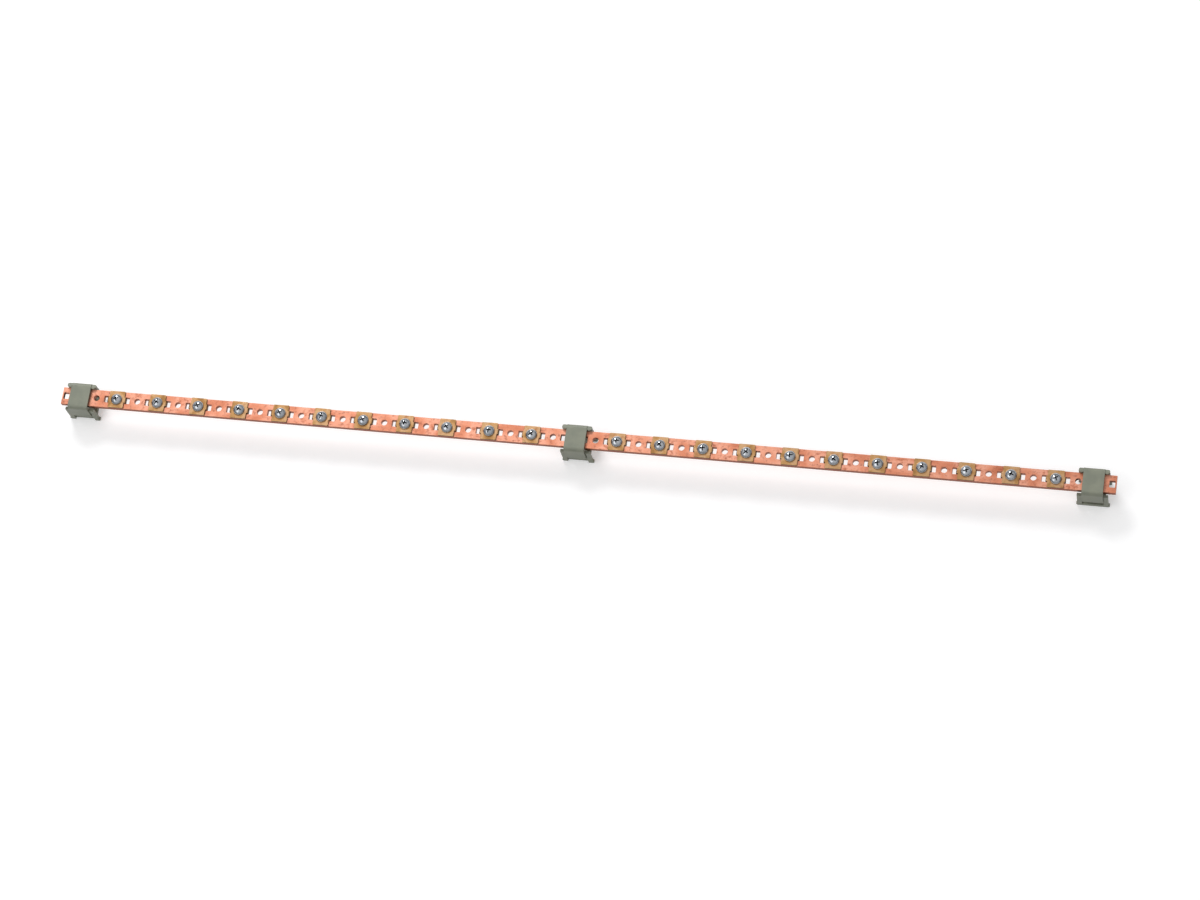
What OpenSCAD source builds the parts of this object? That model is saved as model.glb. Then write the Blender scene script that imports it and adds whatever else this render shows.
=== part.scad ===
// Rack grounding busbar.
// A drilled copper bar carries a row of clamp terminals and rests in three
// moulded holders. Each holder is a base that is screwed to the rack and a cap
// that snaps over the bar. X runs along the bar, Z is up, and the origin is on
// the mounting surface under the middle of the bar.

/* [Busbar] */
// Width of the copper bar
bar_width = 15; // [14:0.5:17]
// Thickness of the copper bar
bar_thick = 4; // [3:0.5:6]
// Distance from one terminal station to the next
station_pitch = 36; // [33:0.5:42]
// Distance from the last terminal station to the end of the bar
bar_end = 12.5; // [12.2:0.1:14]
// Round through hole midway between two stations
through_hole_d = 5.2; // [4:0.1:7]
// Distance from a station's centre to the square hole on each side of it
square_offset = 9; // [8.5:0.1:9.5]
// Length of a square hole, along the bar
square_length = 4.8; // [4.4:0.1:5.2]
// Width of a square hole, across the bar
square_width = 5.8; // [5.5:0.1:7]
// Corner radius of a square hole
square_corner = 0.6; // [0.2:0.1:1]

/* [Clamp plates] */
// Length of a clamp plate, along the bar
plate_length = 13.4; // [12.6:0.1:14]
// Thickness of a clamp plate
plate_thick = 1.2; // [0.8:0.1:2]
// Corner radius of a clamp plate
plate_corner = 0.7; // [0.2:0.1:1.5]
// Width of the tongue at each end of a clamp plate
tongue_width = 4.8; // [3:0.1:5]
// Depth that a tongue reaches below the top of the bar
tongue_depth = 2.4; // [1:0.1:2.8]
// Gap between a tongue and the inner edge of its square hole
tongue_gap = 0.35; // [0.2:0.05:0.6]

/* [Terminal screws] */
// Nominal diameter of the terminal screw
screw_d = 5; // [4:0.5:6]
// Radial clearance between the screw and its hole
screw_gap = 0.1; // [0.05:0.05:0.3]
// Diameter of the pan head
head_d = 9.6; // [8.5:0.1:11]
// Height of the pan head
head_height = 3.4; // [2.6:0.1:4]
// Height of the straight rim of the pan head
head_rim = 0.9; // [0.5:0.1:1.2]
// Length of the screw below its head
screw_length = 8; // [6.5:0.5:12]
// Width across the cross recess
recess_span = 5; // [4:0.1:6]
// Width of one slot of the cross recess
recess_slot = 1.1; // [0.7:0.1:1.4]
// Depth of the cross recess
recess_depth = 1.9; // [1:0.1:2.2]

/* [Holders] */
// Distance from the left end of the bar to the middle of the left holder
left_holder_inset = 16; // [14:0.5:20]
// Distance from the right end of the bar to the middle of the right holder
right_holder_inset = 18.5; // [14:0.5:20]
// Place of the middle holder, from the middle of the bar
middle_holder_x = 1.5; // [-2:0.5:2]
// Height of the underside of the bar above the mounting surface
seat_height = 20.5; // [18:0.5:26]
// Length of a holder base, along the bar
base_length = 25; // [24:0.5:27]
// Gap between the bar's edge and the inside of the holder
bar_side_gap = 0.8; // [0.4:0.1:1.2]
// Thickness of the side walls of a base
base_wall = 2.5; // [2:0.1:3.5]
// Thickness of the floor of a base
floor_thick = 3.7; // [3:0.1:5]
// Height of the window in each side wall of a base
window_height = 5; // [3:0.5:6]
// Radius of the rounded foot at each end of a side wall
foot_radius = 1.9; // [1.4:0.1:2.4]
// How far a foot stands out past the end of its side wall
foot_flare = 1; // [0:0.1:1.2]
// Thickness of the cross ribs that carry the bar
rib_thick = 2; // [1.5:0.1:3]
// Distance between the middles of the two cross ribs
rib_spacing = 10.4; // [9.6:0.2:12]
// Diameter of the fixing hole in the floor
fixing_hole_d = 6.4; // [5.3:0.1:7]

/* [Caps] */
// Width of the strap that crosses the bar
strap_width = 17; // [15:0.5:18]
// Thickness of the cap's wall
cap_wall = 1.8; // [1.4:0.1:2.4]
// Gap between the top of the bar and the underside of the cap
cap_top_gap = 1.5; // [1.4:0.1:3]
// Gap between the cap and the base
cap_fit_gap = 0.2; // [0.1:0.05:0.3]
// Height of the lower edge of the cap above the mounting surface
cap_edge_height = 11; // [9.5:0.5:12]
// Outside radius of the cap's long edges
cap_round = 3.4; // [2.6:0.1:4]
// Height that the back plate's ears stand above the top of the bar
ear_height = 2.6; // [1:0.1:3]
// Corner radius of the ears, seen from above
ear_round = 2.4; // [1:0.1:2.5]
// Depth of the recess in a base's wall that the strap lies in
strap_recess = 0.8; // [0.4:0.1:1]
// Width of the two pads that hold the bar down, across the bar
pad_width = 7.5; // [5:0.5:12]
// Reach of the latch nose
latch_reach = 0.6; // [0.3:0.1:0.8]
// Height of the latch nose
latch_height = 1.6; // [1.2:0.1:2.2]

/* [Hidden] */

// Terminals on each side of the middle, and stations on each side: the last
// station of each side is left free for an end holder.
side_terminals = 11;
side_stations = side_terminals + 1;
terminals = [for (i = [-side_terminals : side_terminals]) if (i != 0) i];

bar_length = 2 * (side_stations * station_pitch + bar_end);
bar_top = seat_height + bar_thick;
plate_top = bar_top + plate_thick;
tongue_tip = square_offset - square_length / 2 + tongue_gap + plate_thick;
screw_turn = 137.5;  // from one screw to the next, so that none line up

// Holders: the walls stand just outside the bar, the strap lies over them.
wall_inner = bar_width / 2 + bar_side_gap;
wall_outer = wall_inner + base_wall;
recess_outer = wall_outer - strap_recess;
strap_inner = recess_outer + cap_fit_gap;
strap_outer = strap_inner + cap_wall;
half_window = strap_width / 2 + cap_fit_gap;
window_top = floor_thick + window_height;
cap_inner_top = bar_top + cap_top_gap;
cap_top = cap_inner_top + cap_wall;
ear_top = bar_top + ear_height;
holder_x = [-bar_length / 2 + left_holder_inset, middle_holder_x,
            bar_length / 2 - right_holder_inset];
cut = 1;     // cutters run this far past a face
sink = 0.8;  // parts of one moulding run this far into each other

copper = "#c9896b";
brass = "#b39a63";
zinc = "#a9adb0";
grey_green = "#7d8371";

// A plate with its four upright edges rounded, standing on z = 0.
module rounded_plate(length, width, height, r) {
    linear_extrude(height)
        union() {
            square([length - 2 * r, width], center = true);
            square([length, width - 2 * r], center = true);
            for (x = [-1, 1], y = [-1, 1])
                translate([x * (length / 2 - r), y * (width / 2 - r)])
                    circle(r, $fn = 24);
        }
}

// The bar: a flat with a tapped hole at every station, a square hole on each
// side of it, and a round through hole midway between stations.
module busbar() {
    color(copper)
        difference() {
            translate([-bar_length / 2, -bar_width / 2, seat_height])
                cube([bar_length, bar_width, bar_thick]);
            for (i = [-side_stations : side_stations])
                translate([i * station_pitch, 0, seat_height - cut]) {
                    cylinder(h = bar_thick + 2 * cut,
                             r = screw_d / 2 + screw_gap, $fn = 32);
                    for (side = [-1, 1])
                        translate([side * square_offset, 0, 0])
                            rounded_plate(square_length, square_width,
                                          bar_thick + 2 * cut, square_corner);
                }
            for (i = [-side_stations : side_stations - 1])
                translate([(i + 0.5) * station_pitch, 0, seat_height - cut])
                    cylinder(h = bar_thick + 2 * cut,
                             r = through_hole_d / 2, $fn = 32);
        }
}

// One tongue of a clamp plate, in profile: bent down into its square hole.
module tongue() {
    bend = plate_thick;
    start = plate_length / 2 - bend;
    translate([0, tongue_width / 2, 0])
        rotate([90, 0, 0])
            linear_extrude(tongue_width) {
                translate([start, 0])
                    square([tongue_tip - bend - start, plate_thick]);
                intersection() {
                    translate([tongue_tip - bend, 0])
                        circle(bend, $fn = 32);
                    translate([tongue_tip - bend, 0])
                        square(bend);
                }
                translate([tongue_tip - plate_thick, -tongue_depth])
                    square([plate_thick, tongue_depth]);
            }
}

// A clamp plate lies on the bar; its tongues keep it from turning.
module clamp_plate(number) {
    if (number <= len(terminals))
        color(brass)
            translate([terminals[number - 1] * station_pitch, 0, bar_top])
                difference() {
                    union() {
                        rounded_plate(plate_length, bar_width,
                                      plate_thick, plate_corner);
                        tongue();
                        mirror([1, 0, 0]) tongue();
                    }
                    translate([0, 0, -cut])
                        cylinder(h = plate_thick + 2 * cut,
                                 r = screw_d / 2 + screw_gap, $fn = 32);
                }
}

// A pan head screw, its head resting on z = 0: a low dome over a straight
// rim, with a cross recess.
module pan_screw(turn) {
    dome = head_height - head_rim;
    half = head_d / 2;
    dome_r = (half * half + dome * dome) / (2 * dome);
    rotate(turn)
        difference() {
            union() {
                intersection() {
                    cylinder(h = head_height, r = half, $fn = 40);
                    translate([0, 0, head_height - dome_r])
                        sphere(dome_r, $fn = 64);
                }
                translate([0, 0, -screw_length])
                    cylinder(h = screw_length + head_rim / 2,
                             r = screw_d / 2, $fn = 32);
            }
            for (quarter = [0, 90])
                rotate(quarter)
                    translate([-recess_span / 2, -recess_slot / 2,
                               head_height - recess_depth])
                        cube([recess_span, recess_slot, recess_depth + cut]);
        }
}

// The screws stand as they were tightened, each turned its own way.
module terminal_screws() {
    color(zinc)
        for (i = terminals)
            translate([i * station_pitch, 0, plate_top])
                pan_screw(i * screw_turn);
}

// Side wall of a base, seen from the side: straight above, with a rounded
// foot at each end and a window between the feet.
module side_wall_outline() {
    difference() {
        union() {
            translate([-base_length / 2, foot_radius])
                square([base_length, seat_height - foot_radius]);
            translate([-base_length / 2 - foot_flare + foot_radius, 0])
                square([base_length + 2 * (foot_flare - foot_radius),
                        foot_radius]);
            for (end = [-1, 1])
                translate([end * (base_length / 2 + foot_flare - foot_radius),
                           foot_radius])
                    circle(foot_radius, $fn = 32);
        }
        translate([-half_window, -cut])
            square([2 * half_window, window_top + cut]);
    }
}

// The outside of a side wall, cut back for the strap, with a groove behind
// the strap's lower edge for its latch nose.
module strap_recess_cut() {
    low = cap_edge_height - cap_fit_gap;
    translate([-half_window, recess_outer, low])
        cube([2 * half_window, strap_recess + cut, seat_height]);
    translate([-half_window, recess_outer - latch_reach, low])
        cube([2 * half_window, latch_reach + cut,
              latch_height + 2 * cap_fit_gap]);
}

// A base: two side walls joined by a floor and two cross ribs that carry the
// bar. On one side the floor reaches the outside face and makes a rail.
module holder_base() {
    color(grey_green)
        difference() {
            union() {
                for (side = [0, 180])
                    rotate(side)
                        translate([0, wall_outer, 0])
                            rotate([90, 0, 0])
                                linear_extrude(base_wall)
                                    side_wall_outline();
                translate([-half_window - sink, -wall_inner - sink, 0])
                    cube([2 * (half_window + sink),
                          2 * (wall_inner + sink), floor_thick]);
                translate([-half_window, 0, 0])
                    cube([2 * half_window, wall_outer, floor_thick]);
                for (side = [-1, 1])
                    translate([side * rib_spacing / 2 - rib_thick / 2,
                               -wall_inner, 0])
                        cube([rib_thick, 2 * wall_inner, seat_height]);
            }
            for (side = [0, 180])
                rotate(side) strap_recess_cut();
            translate([0, 0, -cut])
                cylinder(h = floor_thick + 2 * cut,
                         r = fixing_hole_d / 2, $fn = 48);
        }
}

// An arch from z = low to z = top, reaching half to each side, with both top
// corners rounded. It is drawn across the bar.
module arch_outline(half, low, top, r) {
    translate([-half, low])
        square([2 * half, top - r - low]);
    translate([-half + r, low])
        square([2 * (half - r), top - low]);
    for (side = [-1, 1])
        translate([side * (half - r), top - r])
            circle(r, $fn = 40);
}

// Draws its child across the bar and gives it a length along the bar.
module along_bar(length) {
    rotate([90, 0, 90])
        translate([0, 0, -length / 2])
            linear_extrude(length)
                children();
}

// The strap: an arch over the bar with a latch nose inside each lower edge.
module strap() {
    along_bar(strap_width)
        union() {
            difference() {
                arch_outline(strap_outer, cap_edge_height, cap_top,
                             cap_round);
                arch_outline(strap_inner, cap_edge_height - cut,
                             cap_inner_top, cap_round - cap_wall);
            }
            for (side = [0, 1])
                mirror([side, 0])
                    polygon([[strap_inner, cap_edge_height],
                             [strap_inner, cap_edge_height + latch_height],
                             [strap_inner - latch_reach,
                              cap_edge_height + latch_height]]);
        }
}

// The back plate stands on the base's far wall behind the bar, and its ears
// reach past the strap to the ends of the base.
module back_plate() {
    low = seat_height + cap_fit_gap;
    depth = strap_outer - wall_inner;
    intersection() {
        translate([0, 0, low])
            linear_extrude(ear_top - low)
                union() {
                    translate([-base_length / 2, wall_inner])
                        square([base_length, depth - ear_round]);
                    translate([-base_length / 2 + ear_round, wall_inner])
                        square([base_length - 2 * ear_round, depth]);
                    for (side = [-1, 1])
                        translate([side * (base_length / 2 - ear_round),
                                   strap_outer - ear_round])
                            circle(ear_round, $fn = 32);
                }
        along_bar(base_length)
            arch_outline(strap_outer, low, ear_top, cap_round);
    }
}

// Inside the strap: a stop in front of the bar and two pads on top of it.
module bar_stops() {
    translate([-strap_width / 2, -strap_inner - sink,
               seat_height + cap_fit_gap])
        cube([strap_width, strap_inner - wall_inner + sink, bar_thick]);
    for (side = [-1, 1])
        translate([side * rib_spacing / 2 - rib_thick / 2, -pad_width / 2,
                   bar_top])
            cube([rib_thick, pad_width, cap_top_gap + sink]);
}

// A cap: one moulding that snaps over the bar onto its base.
module holder_cap() {
    color(grey_green)
        union() {
            strap();
            back_plate();
            bar_stops();
        }
}

busbar();
clamp_plate(1);  // clamp_plate_01
clamp_plate(2);  // clamp_plate_02
clamp_plate(3);  // clamp_plate_03
clamp_plate(4);  // clamp_plate_04
clamp_plate(5);  // clamp_plate_05
clamp_plate(6);  // clamp_plate_06
clamp_plate(7);  // clamp_plate_07
clamp_plate(8);  // clamp_plate_08
clamp_plate(9);  // clamp_plate_09
clamp_plate(10);  // clamp_plate_10
clamp_plate(11);  // clamp_plate_11
clamp_plate(12);  // clamp_plate_12
clamp_plate(13);  // clamp_plate_13
clamp_plate(14);  // clamp_plate_14
clamp_plate(15);  // clamp_plate_15
clamp_plate(16);  // clamp_plate_16
clamp_plate(17);  // clamp_plate_17
clamp_plate(18);  // clamp_plate_18
clamp_plate(19);  // clamp_plate_19
clamp_plate(20);  // clamp_plate_20
clamp_plate(21);  // clamp_plate_21
clamp_plate(22);  // clamp_plate_22
terminal_screws();
translate([holder_x[0], 0, 0]) holder_base();  // holder_base_left
translate([holder_x[1], 0, 0]) holder_base();  // holder_base_middle
translate([holder_x[2], 0, 0]) rotate(180) holder_base();  // holder_base_right
translate([holder_x[0], 0, 0]) holder_cap();  // holder_cap_left
translate([holder_x[1], 0, 0]) holder_cap();  // holder_cap_middle
translate([holder_x[2], 0, 0]) holder_cap();  // holder_cap_right
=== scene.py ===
"""Rack grounding busbar: a drilled copper bar with a row of clamp terminals,
carried by three moulded holders that snap over it."""

import math

import bmesh
import bpy
from mathutils import Matrix, Vector


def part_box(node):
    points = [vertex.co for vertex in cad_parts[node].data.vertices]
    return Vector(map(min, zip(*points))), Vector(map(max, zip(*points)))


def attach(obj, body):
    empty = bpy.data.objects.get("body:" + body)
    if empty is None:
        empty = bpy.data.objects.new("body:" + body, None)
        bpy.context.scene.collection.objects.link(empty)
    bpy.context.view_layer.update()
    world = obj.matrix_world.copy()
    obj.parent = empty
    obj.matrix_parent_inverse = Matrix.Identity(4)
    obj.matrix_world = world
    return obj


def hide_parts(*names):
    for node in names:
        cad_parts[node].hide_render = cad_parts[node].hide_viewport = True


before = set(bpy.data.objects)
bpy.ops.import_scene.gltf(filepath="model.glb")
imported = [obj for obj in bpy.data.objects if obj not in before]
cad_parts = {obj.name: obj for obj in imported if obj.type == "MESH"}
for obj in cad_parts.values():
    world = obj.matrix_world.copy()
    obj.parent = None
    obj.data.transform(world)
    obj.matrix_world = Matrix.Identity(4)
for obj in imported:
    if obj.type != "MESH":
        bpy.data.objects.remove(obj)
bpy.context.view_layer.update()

MM = 0.001


# ---------------------------------------------------------------- busbar
# A 15 x 4 mm copper flat, sawn to length and punched in line: a tapped hole
# at each station with a square hole on each side of it, and a plain round
# hole between stations. The punch and a light deburr round every edge.

bar_edge_radius = 0.25 * MM
sharp_fold = math.radians(30)


def add_object(name, mesh):
    """A new object for the mesh, at the origin, in the scene."""
    piece = bpy.data.objects.new(name, mesh)
    bpy.context.scene.collection.objects.link(piece)
    return piece


def mesh_from(bm, name):
    """The finished mesh of a bmesh, which is then freed."""
    mesh = bpy.data.meshes.new(name)
    bm.to_mesh(mesh)
    bm.free()
    return mesh


def softened(node, name, radius):
    """A copy of a CAD solid, its sharp edges rounded over by that radius."""
    bm = bmesh.new()
    bm.from_mesh(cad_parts[node].data)
    bmesh.ops.remove_doubles(bm, verts=bm.verts, dist=0.001 * MM)
    bmesh.ops.dissolve_limit(
        bm, angle_limit=math.radians(0.5), verts=bm.verts, edges=bm.edges
    )
    sharp = [e for e in bm.edges
             if e.is_manifold and e.calc_face_angle() > sharp_fold]
    bmesh.ops.bevel(
        bm, geom=sharp, offset=radius, offset_type="OFFSET", segments=2,
        profile=0.5, affect="EDGES", clamp_overlap=True,
    )
    return add_object(name, mesh_from(bm, name))


def shade_by_angle(piece, degrees):
    """Smooth shading, except across edges sharper than that many degrees,
    with the flat faces kept flat between their rounded edges."""
    piece.data.shade_smooth()
    piece.data.set_sharp_from_angle(angle=math.radians(degrees))
    flat = piece.modifiers.new("flat_faces", "WEIGHTED_NORMAL")
    flat.mode, flat.weight, flat.keep_sharp = "FACE_AREA", 100, True


def linear(hex_colour):
    """An sRGB hex colour as linear RGBA."""
    parts = [int(hex_colour[i : i + 2], 16) / 255 for i in (1, 3, 5)]
    return (*[c / 12.92 if c <= 0.04045 else ((c + 0.055) / 1.055) ** 2.4
              for c in parts], 1)


def add_node(tree, kind, settings=None, **links):
    """A new node with its settings, its inputs set to values or joined to
    sockets. An input is named with _ for a space, or by place as i0, i1."""
    node = tree.nodes.new(kind)
    for key, value in (settings or {}).items():
        setattr(node, key, value)
    for key, value in links.items():
        place = int(key[1:]) if key[1:].isdigit() else key.replace("_", " ")
        socket = node.inputs[place]
        if isinstance(value, bpy.types.NodeSocket):
            tree.links.new(value, socket)
        else:
            socket.default_value = value
    return node


def new_material(name):
    """An empty node material with its output: (material, tree, output)."""
    material = bpy.data.materials.new(name)
    material.use_nodes = True
    tree = material.node_tree
    tree.nodes.clear()
    return material, tree, add_node(tree, "ShaderNodeOutputMaterial")


def ramp(tree, factor, stops):
    """A colour ramp over (place, hex colour) stops."""
    node = add_node(tree, "ShaderNodeValToRGB", i0=factor)
    elements = node.color_ramp.elements
    while len(elements) < len(stops):
        elements.new(0.5)
    for element, (place, colour) in zip(elements, stops):
        element.position = place
        element.color = linear(colour)
    return node.outputs["Color"]


def painted_side_shade(tree, colour, side_shade_colour):
    """The colour on faces that look up or down, and the other on the sheared
    and punched faces between them: a painted shade, for the shade that falls
    on the sides and in the gaps under the edges."""
    facing = add_node(tree, "ShaderNodeSeparateXYZ",
                      i0=add_node(tree, "ShaderNodeTexCoord").outputs["Normal"])
    level = add_node(tree, "ShaderNodeMath", {"operation": "ABSOLUTE"},
                     i0=facing.outputs["Z"])
    blend = add_node(tree, "ShaderNodeMapRange", Value=level.outputs[0],
                     From_Min=0.15, From_Max=0.6)
    return add_node(tree, "ShaderNodeMix", {"data_type": "RGBA"},
                    i0=blend.outputs[0], i6=linear(side_shade_colour),
                    i7=colour).outputs[2]


def rolled_copper():
    """Bare copper strip, as rolled: a satin metal with fine lines along the
    strip, pink clouds 14 mm across, and brown spots of oxide of 3.5 mm."""
    material, tree, output = new_material("rolled_copper")
    place = add_node(tree, "ShaderNodeTexCoord").outputs["Object"]
    clouds = add_node(tree, "ShaderNodeTexNoise", Vector=place,
                      Scale=1 / (14 * MM), Detail=4.0, Roughness=0.6)
    colour = ramp(tree, clouds.outputs["Fac"],
                  [(0.30, "#bd7458"), (0.44, "#d68d70"),
                   (0.56, "#e3a48b"), (0.72, "#cf8466")])
    lines_place = add_node(tree, "ShaderNodeMapping", Vector=place,
                           Scale=(0.03, 1.0, 1.0))
    lines = add_node(tree, "ShaderNodeTexNoise", Vector=lines_place.outputs[0],
                     Scale=1 / (0.6 * MM), Detail=3.0)
    spots = add_node(tree, "ShaderNodeTexNoise", Vector=place,
                     Scale=1 / (3.5 * MM), Detail=5.0, Roughness=0.65)
    spot_mask = add_node(tree, "ShaderNodeMapRange", Value=spots.outputs["Fac"],
                         From_Min=0.50, From_Max=0.70, To_Max=0.85)
    spotted = add_node(tree, "ShaderNodeMix", {"data_type": "RGBA"},
                       i0=spot_mask.outputs[0], i6=colour, i7=linear("#94503a"))
    rough = add_node(tree, "ShaderNodeMapRange", Value=lines.outputs["Fac"],
                     From_Min=0.3, From_Max=0.7, To_Min=0.38, To_Max=0.52)
    bump = add_node(tree, "ShaderNodeBump", Height=lines.outputs["Fac"],
                    Strength=0.25, Distance=0.03 * MM)
    # The copper's sides get a darker brown: painted shade, not a colour of the metal.
    shader = add_node(tree, "ShaderNodeBsdfPrincipled",
                      Base_Color=painted_side_shade(tree, spotted.outputs[2], "#8f5640"),
                      Metallic=1.0,
                      Roughness=rough.outputs[0], Normal=bump.outputs[0])
    tree.links.new(shader.outputs[0], output.inputs[0])
    return material


bar = softened("busbar", "copper_bar", bar_edge_radius)
bar.data.materials.append(rolled_copper())
shade_by_angle(bar, 50)
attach(bar, "root")
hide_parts("busbar")


# ---------------------------------------------------------- clamp plates
# Steel plates, zinc plated and yellow passivated. Each is blanked with a
# tongue at each end that is bent down into a square hole of the bar. They
# were fitted by hand, so each stands a little askew.

plates = [f"clamp_plate_{i:02d}" for i in range(1, 23)]
plates_per_side = len(plates) // 2
station_x = [sum(corner[0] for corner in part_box(p)) / 2 for p in plates]
pitch = station_x[1] - station_x[0]
bar_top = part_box("busbar")[1][2]
plate_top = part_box(plates[0])[1][2]
plate_edge_radius = 0.2 * MM
plate_askew = math.radians(0.7)


def repeated(name, master, count_per_side, spacing, height, turn, wobble, material):
    """The master piece at every terminal station: a line of points along X
    with the middle one left out, made into one plain mesh."""
    tree = bpy.data.node_groups.new(name + "_row", "GeometryNodeTree")
    wanted = {}
    for label, kind, value in (
        ("Stations each side", "NodeSocketInt", count_per_side),
        ("Pitch", "NodeSocketFloat", spacing),
        ("Height", "NodeSocketFloat", height),
        ("Turn per station", "NodeSocketFloat", turn),
        ("Wobble", "NodeSocketFloat", wobble),
        ("Master", "NodeSocketObject", master),
        ("Finish", "NodeSocketMaterial", material),
    ):
        socket = tree.interface.new_socket(label, in_out="INPUT", socket_type=kind)
        wanted[socket.identifier] = value
    tree.interface.new_socket("Geometry", in_out="OUTPUT",
                              socket_type="NodeSocketGeometry")
    given = add_node(tree, "NodeGroupInput").outputs
    stations = given["Stations each side"]
    count = add_node(tree, "ShaderNodeMath", {"operation": "MULTIPLY_ADD"},
                     i0=stations, i1=2.0, i2=1.0)
    first_x = add_node(tree, "ShaderNodeMath", {"operation": "MULTIPLY"},
                       i0=stations, i1=given["Pitch"])
    minus_x = add_node(tree, "ShaderNodeMath", {"operation": "MULTIPLY"},
                       i0=first_x.outputs[0], i1=-1.0)
    start = add_node(tree, "ShaderNodeCombineXYZ", X=minus_x.outputs[0],
                     Z=given["Height"])
    step = add_node(tree, "ShaderNodeCombineXYZ", X=given["Pitch"])
    line = add_node(tree, "GeometryNodeMeshLine",
                    {"mode": "OFFSET", "count_mode": "TOTAL"},
                    Count=count.outputs[0], Start_Location=start.outputs[0],
                    Offset=step.outputs[0])
    index = add_node(tree, "GeometryNodeInputIndex").outputs[0]
    from_middle = add_node(tree, "ShaderNodeMath", {"operation": "SUBTRACT"},
                           i0=index, i1=stations)
    is_middle = add_node(tree, "FunctionNodeCompare",
                         {"data_type": "FLOAT", "operation": "EQUAL"},
                         A=from_middle.outputs[0], B=0.0, Epsilon=0.1)
    turned = add_node(tree, "ShaderNodeMath", {"operation": "MULTIPLY"},
                      i0=from_middle.outputs[0], i1=given["Turn per station"])
    minus_wobble = add_node(tree, "ShaderNodeMath", {"operation": "MULTIPLY"},
                            i0=given["Wobble"], i1=-1.0)
    chance = add_node(tree, "FunctionNodeRandomValue", {"data_type": "FLOAT"},
                      Min=minus_wobble.outputs[0], Max=given["Wobble"], Seed=7)
    angle = add_node(tree, "ShaderNodeMath", {"operation": "ADD"},
                     i0=turned.outputs[0], i1=chance.outputs[1])
    rotation = add_node(tree, "ShaderNodeCombineXYZ", Z=angle.outputs[0])
    source = add_node(tree, "GeometryNodeObjectInfo", Object=given["Master"])
    points = add_node(tree, "GeometryNodeDeleteGeometry", {"domain": "POINT"},
                      Geometry=line.outputs[0], Selection=is_middle.outputs[0])
    placed = add_node(tree, "GeometryNodeInstanceOnPoints",
                      Points=points.outputs[0],
                      Instance=source.outputs["Geometry"],
                      Rotation=rotation.outputs[0])
    real = add_node(tree, "GeometryNodeRealizeInstances",
                    Geometry=placed.outputs[0])
    finished = add_node(tree, "GeometryNodeSetMaterial",
                        Geometry=real.outputs[0], Material=given["Finish"])
    add_node(tree, "NodeGroupOutput", Geometry=finished.outputs[0])

    carrier = add_object(name + "_carrier", bpy.data.meshes.new(name + "_carrier"))
    modifier = carrier.modifiers.new("row", "NODES")
    modifier.node_group = tree
    for identifier, value in wanted.items():
        modifier[identifier] = value
    evaluated = carrier.evaluated_get(bpy.context.evaluated_depsgraph_get())
    mesh = bpy.data.meshes.new_from_object(evaluated)
    mesh.name = name
    carrier.modifiers.clear()
    bpy.data.objects.remove(carrier)
    bpy.data.objects.remove(master)
    return add_object(name, mesh)


def yellow_passivated_steel():
    """Zinc plated sheet under a yellow chromate film: a satin metal that goes
    from straw to brown and rose within 9 mm, with a fine 0.5 mm grain."""
    material, tree, output = new_material("yellow_passivated_steel")
    place = add_node(tree, "ShaderNodeTexCoord").outputs["Object"]
    film = add_node(tree, "ShaderNodeTexNoise", Vector=place,
                    Scale=1 / (9 * MM), Detail=3.0, Distortion=0.4)
    colour = ramp(tree, film.outputs["Fac"],
                  [(0.30, "#9c7347"), (0.45, "#b98e5e"),
                   (0.58, "#c7a078"), (0.72, "#ab7a52")])
    # The plates' sides get a dark brown: painted shade, for the shade on the sides
    # and the gap shadow under the edges.
    colour = painted_side_shade(tree, colour, "#5d4529")
    grain = add_node(tree, "ShaderNodeTexNoise", Vector=place,
                     Scale=1 / (0.5 * MM), Detail=4.0, Roughness=0.6)
    rough = add_node(tree, "ShaderNodeMapRange", Value=grain.outputs["Fac"],
                     From_Min=0.3, From_Max=0.7, To_Min=0.30, To_Max=0.46)
    bump = add_node(tree, "ShaderNodeBump", Height=grain.outputs["Fac"],
                    Strength=0.2, Distance=0.02 * MM)
    shader = add_node(tree, "ShaderNodeBsdfPrincipled", Base_Color=colour,
                      Metallic=1.0, Roughness=rough.outputs[0],
                      Normal=bump.outputs[0])
    tree.links.new(shader.outputs[0], output.inputs[0])
    return material


plate = softened(plates[0], "clamp_plate", plate_edge_radius)
plate.data.transform(Matrix.Translation((-station_x[0], 0, -bar_top)))
clamp_plates = repeated("clamp_plates", plate, plates_per_side, pitch, bar_top,
                        0.0, plate_askew, yellow_passivated_steel())
shade_by_angle(clamp_plates, 50)
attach(clamp_plates, "root")
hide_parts(*plates)


# ------------------------------------------------------- terminal screws
# M5 pan head screws, cold headed, rolled and bright zinc plated, with a
# combined cross and slot recess. They were tightened by hand, so each stands
# turned its own way.

screws_low, screws_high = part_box("terminal_screws")
head_height = screws_high[2] - plate_top
shaft_length = plate_top - screws_low[2]
head_radius = (screws_high[0] - screws_low[0] - len(plates) * pitch) / 2
head_rim = 0.9 * MM
shaft_radius = 2.5 * MM
thread_pitch = 0.8 * MM
thread_depth = 0.45 * MM
turn_per_station = math.radians(137.5)  # so that no two neighbours line up


def lathe(bm, profile, steps):
    """Turns a profile of (radius, height) points, from the axis to the axis,
    into a closed shell."""
    rings = []
    for radius, height in profile:
        if radius == 0:
            rings.append([bm.verts.new((0, 0, height))])
        else:
            rings.append([bm.verts.new((radius * math.cos(2 * math.pi * k / steps),
                                        radius * math.sin(2 * math.pi * k / steps),
                                        height))
                          for k in range(steps)])
    for a, b in zip(rings, rings[1:]):
        for k in range(steps):
            n = (k + 1) % steps
            quad = [a[k % len(a)], a[n % len(a)], b[n % len(b)], b[k % len(b)]]
            bm.faces.new(list(dict.fromkeys(quad)))


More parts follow.
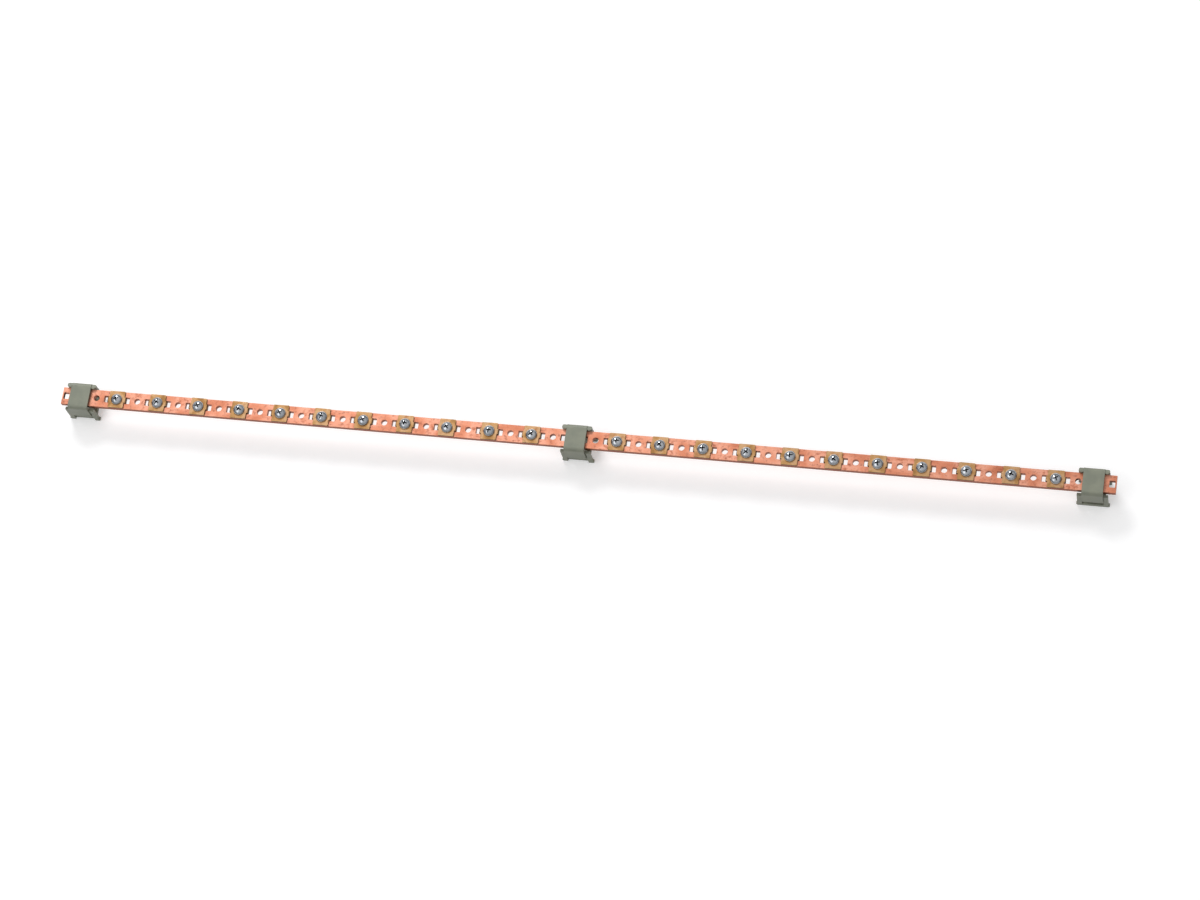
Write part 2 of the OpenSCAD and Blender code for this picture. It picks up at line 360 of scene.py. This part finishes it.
def pan_head():
    """The head as it is cold headed: a flat bearing face, a low straight rim
    and a dome."""
    dome = head_height - head_rim
    ball = (head_radius**2 + dome**2) / (2 * dome)
    edge = 0.25 * MM
    profile = [(0, 0), (head_radius - edge, 0), (head_radius, edge),
               (head_radius, head_rim - edge)]
    reach = math.asin((head_radius - edge / 2) / ball)
    rings = 9
    for k in range(rings):
        a = reach * (1 - k / rings)
        profile.append((ball * math.sin(a), head_height - ball + ball * math.cos(a)))
    profile.append((0, head_height))
    bm = bmesh.new()
    lathe(bm, profile, 48)
    bmesh.ops.recalc_face_normals(bm, faces=bm.faces)
    return add_object("pan_head", mesh_from(bm, "pan_head"))


def recess_punch():
    """What the heading punch presses in: two tapered wings crossing, one of
    them drawn out into a shallow driver slot."""
    bm = bmesh.new()
    top = head_height + 0.5 * MM
    corner_signs = ((-1, -1), (1, -1), (1, 1), (-1, 1))

    def wedge(span, width, low_span, low_width, depth):
        low = head_height - depth
        corners = [bm.verts.new((sx * span / 2, sy * width / 2, top))
                   for sx, sy in corner_signs]
        corners += [bm.verts.new((sx * low_span / 2, sy * low_width / 2, low))
                    for sx, sy in corner_signs]
        for face in ((0, 1, 2, 3), (7, 6, 5, 4), (0, 4, 5, 1),
                     (1, 5, 6, 2), (2, 6, 7, 3), (3, 7, 4, 0)):
            bm.faces.new([corners[i] for i in face])

    wedge(span=5.6 * MM, width=1.25 * MM,
          low_span=2.2 * MM, low_width=0.7 * MM, depth=1.9 * MM)
    wedge(span=1.25 * MM, width=5.6 * MM,
          low_span=0.7 * MM, low_width=2.2 * MM, depth=1.9 * MM)
    wedge(span=7.6 * MM, width=1.15 * MM,
          low_span=7.0 * MM, low_width=0.95 * MM, depth=1.15 * MM)
    bmesh.ops.recalc_face_normals(bm, faces=bm.faces)
    return add_object("recess_punch", mesh_from(bm, "recess_punch"))


def threaded_shaft():
    """The rolled thread: a closed tube whose radius follows the helix, with a
    chamfered tip."""
    bm = bmesh.new()
    steps, rows = 24, int(shaft_length / thread_pitch * 6)
    tip_length, tip_depth = 1.2 * MM, 0.8 * MM
    rings = []
    for row in range(rows + 1):
        z = -shaft_length + row * shaft_length / rows
        tip = max(0.0, 1 - (z + shaft_length) / tip_length)
        ring = []
        for k in range(steps):
            turn = (z / thread_pitch - k / steps) % 1.0
            depth = thread_depth * (1 - abs(2 * turn - 1))
            r = min(shaft_radius - depth, shaft_radius - tip_depth * tip)
            a = 2 * math.pi * k / steps
            ring.append(bm.verts.new((r * math.cos(a), r * math.sin(a), z)))
        rings.append(ring)
    for a, b in zip(rings, rings[1:]):
        for k in range(steps):
            n = (k + 1) % steps
            bm.faces.new((a[k], a[n], b[n], b[k]))
    bm.faces.new(rings[0])
    bm.faces.new(rings[-1])
    bmesh.ops.recalc_face_normals(bm, faces=bm.faces)
    return mesh_from(bm, "threaded_shaft")


def terminal_screw():
    """The head with its recess pressed in, marked in the attribute recess,
    and the shaft below it."""
    head, punch = pan_head(), recess_punch()
    pressed = head.modifiers.new("recess", "BOOLEAN")
    pressed.operation, pressed.object = "DIFFERENCE", punch
    pressed.solver, pressed.use_self = "EXACT", True
    bm = bmesh.new()
    bm.from_mesh(bpy.data.meshes.new_from_object(
        head.evaluated_get(bpy.context.evaluated_depsgraph_get())))
    recess = bm.verts.layers.float.new("recess")
    above_bearing, below_dome, inside_rim = 0.2 * MM, 0.35 * MM, 0.5 * MM
    for vert in bm.verts:
        radius = math.hypot(vert.co.x, vert.co.y)
        dome_z = head_height - (radius / head_radius) ** 2 * (head_height - head_rim)
        if (above_bearing < vert.co.z < dome_z - below_dome
                and radius < head_radius - inside_rim):
            vert[recess] = 1.0
    bm.from_mesh(threaded_shaft())
    for helper in (head, punch):
        bpy.data.objects.remove(helper)
    return add_object("terminal_screw", mesh_from(bm, "terminal_screw"))


def bright_zinc():
    """Bright zinc plate: a mirror-like, slightly blue grey metal with 3 mm
    smudges, dull in the recess and darkened there as painted shade."""
    material, tree, output = new_material("bright_zinc")
    place = add_node(tree, "ShaderNodeTexCoord").outputs["Object"]
    smudge = add_node(tree, "ShaderNodeTexNoise", Vector=place,
                      Scale=1 / (3 * MM), Detail=4.0, Roughness=0.6)
    colour = ramp(tree, smudge.outputs["Fac"],
                  [(0.35, "#a5aab0"), (0.65, "#c6cacf")])
    recess_shade = add_node(tree, "ShaderNodeAttribute",
                    {"attribute_name": "recess"}).outputs["Fac"]
    # The recess is painted dark: painted shade for the light that does not reach into
    # it.
    dark = add_node(tree, "ShaderNodeMix", {"data_type": "RGBA"},
                    i0=recess_shade, i6=colour, i7=linear("#34373a"))
    base_rough = add_node(tree, "ShaderNodeMapRange", Value=smudge.outputs["Fac"],
                          From_Min=0.3, From_Max=0.7, To_Min=0.16, To_Max=0.28)
    rough = add_node(tree, "ShaderNodeMix", i0=recess_shade,
                     i2=base_rough.outputs[0], i3=0.55)
    shader = add_node(tree, "ShaderNodeBsdfPrincipled", Base_Color=dark.outputs[2],
                      Metallic=1.0, Roughness=rough.outputs[0])
    tree.links.new(shader.outputs[0], output.inputs[0])
    return material


screws = repeated("screw_row", terminal_screw(), plates_per_side, pitch, plate_top,
                  turn_per_station, 0.0, bright_zinc())
shade_by_angle(screws, 35)
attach(screws, "root")
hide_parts("terminal_screws")


# --------------------------------------------------------------- holders
# Injection moulded polyamide in a grey-green, like terminal block parts. The
# base is screwed down, the bar is laid in, and the cap snaps over both.


def grey_green_polyamide():
    """Moulded polyamide: semi-matt, with the fine spark-eroded texture of the
    mould, 0.35 mm here so that it shows, and a little colour drift."""
    material, tree, output = new_material("grey_green_polyamide")
    place = add_node(tree, "ShaderNodeTexCoord").outputs["Object"]
    flow = add_node(tree, "ShaderNodeTexNoise", Vector=place,
                    Scale=1 / (11 * MM), Detail=3.0, Roughness=0.5)
    colour = ramp(tree, flow.outputs["Fac"], [(0.35, "#7b7f70"), (0.65, "#878a79")])
    grain = add_node(tree, "ShaderNodeTexNoise", Vector=place,
                     Scale=1 / (0.35 * MM), Detail=3.0)
    rough = add_node(tree, "ShaderNodeMapRange", Value=flow.outputs["Fac"],
                     From_Min=0.3, From_Max=0.7, To_Min=0.42, To_Max=0.55)
    bump = add_node(tree, "ShaderNodeBump", Height=grain.outputs["Fac"],
                    Strength=0.2, Distance=0.03 * MM)
    shader = add_node(tree, "ShaderNodeBsdfPrincipled", Base_Color=colour,
                      Roughness=rough.outputs[0], IOR=1.53, Normal=bump.outputs[0])
    tree.links.new(shader.outputs[0], output.inputs[0])
    return material


polyamide = grey_green_polyamide()
for side in ("left", "middle", "right"):
    for part, radius in (("holder_base", 0.3 * MM), ("holder_cap", 0.35 * MM)):
        node = f"{part}_{side}"
        piece = softened(node, f"moulded_{node}", radius)
        piece.data.materials.append(polyamide)
        shade_by_angle(piece, 50)
        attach(piece, "root")
        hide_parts(node)


# ------------------------------------------------------ floor and backdrop
# A plain white table, wide enough to fill every view. It keeps the object's
# shadow and is white to the camera and in reflections.

table_half = 6.0
table_glow = 0.32  # brings the lit laminate up to plain white


def white_table():
    """White laminate for the lamps. To the camera, and in what metal and clear
    pieces show, a plain white is added, so that only the shadow is left grey."""
    material, tree, output = new_material("white_table")
    laminate = add_node(tree, "ShaderNodeBsdfPrincipled",
                        Base_Color=linear("#e9e9ea"), Roughness=0.9)
    ray = add_node(tree, "ShaderNodeLightPath").outputs
    seen = add_node(tree, "ShaderNodeMath", {"operation": "ADD", "use_clamp": True},
                    i0=ray["Is Camera Ray"], i1=ray["Is Glossy Ray"])
    seen = add_node(tree, "ShaderNodeMath", {"operation": "ADD", "use_clamp": True},
                    i0=seen.outputs[0], i1=ray["Is Transmission Ray"])
    added = add_node(tree, "ShaderNodeMath", {"operation": "MULTIPLY"},
                     i0=seen.outputs[0], i1=table_glow)
    glow = add_node(tree, "ShaderNodeEmission", Strength=added.outputs[0])
    both = add_node(tree, "ShaderNodeAddShader", i0=laminate.outputs[0],
                    i1=glow.outputs[0])
    tree.links.new(both.outputs[0], output.inputs[0])
    return material


floor_mesh = bpy.data.meshes.new("table")
floor_mesh.from_pydata(
    [(x * table_half, y * table_half, 0)
     for x, y in ((-1, -1), (1, -1), (1, 1), (-1, 1))],
    [], [(0, 1, 2, 3)])
floor = add_object("table", floor_mesh)
floor_mesh.materials.append(white_table())


# ----------------------------------------------------------------- light
# A white tent that is brighter overhead than at the horizon, a soft lamp
# behind on the left and a weaker one in front of it.

world = bpy.data.worlds.new("studio")
bpy.context.scene.world = world
world.use_nodes = True
tent = world.node_tree
direction = add_node(tent, "ShaderNodeTexCoord").outputs["Generated"]
upward = add_node(tent, "ShaderNodeSeparateXYZ", i0=direction)
level = add_node(tent, "ShaderNodeMapRange", {"interpolation_type": "SMOOTHSTEP"},
                 Value=upward.outputs["Z"], From_Min=0.0, From_Max=0.8,
                 To_Min=0.15, To_Max=0.72)
background = tent.nodes["Background"]
background.inputs["Color"].default_value = linear("#ffffff")
tent.links.new(level.outputs[0], background.inputs["Strength"])


def softbox(name, place, width, depth, watts):
    """A rectangular soft lamp that faces the middle of the bar."""
    lamp = bpy.data.lights.new(name, "AREA")
    lamp.shape, lamp.size, lamp.size_y, lamp.energy = "RECTANGLE", width, depth, watts
    light = bpy.data.objects.new(name, lamp)
    light.location = place
    light.rotation_euler = (-Vector(place)).to_track_quat("-Z", "Y").to_euler()
    bpy.context.scene.collection.objects.link(light)


softbox("key_light", (-1.0, 2.1, 2.0), width=1.2, depth=0.9, watts=40)
softbox("fill_light", (-1.2, -1.0, 2.2), width=1.8, depth=1.4, watts=10)


# ---------------------------------------------------------------- camera
# High over the near side, a little to the right, with a long lens.

camera_data = bpy.data.cameras.new("camera")
camera_data.sensor_width = 36
camera_data.lens = 110.3
camera_data.clip_end = 50
camera = bpy.data.objects.new("camera", camera_data)
right = Vector((0.97632595, 0.15075348, -0.15511616))
down = Vector((0.08308985, -0.92348425, -0.37453025))
ahead = Vector((-0.19970907, 0.35277502, -0.91414773))
camera.matrix_world = Matrix.Translation((0.625815, -1.072806, 2.783469)) @ Matrix(
    (right, -down, -ahead)).transposed().to_4x4()
bpy.context.scene.collection.objects.link(camera)
bpy.context.scene.camera = camera
bpy.context.scene.view_settings.view_transform = "Standard"
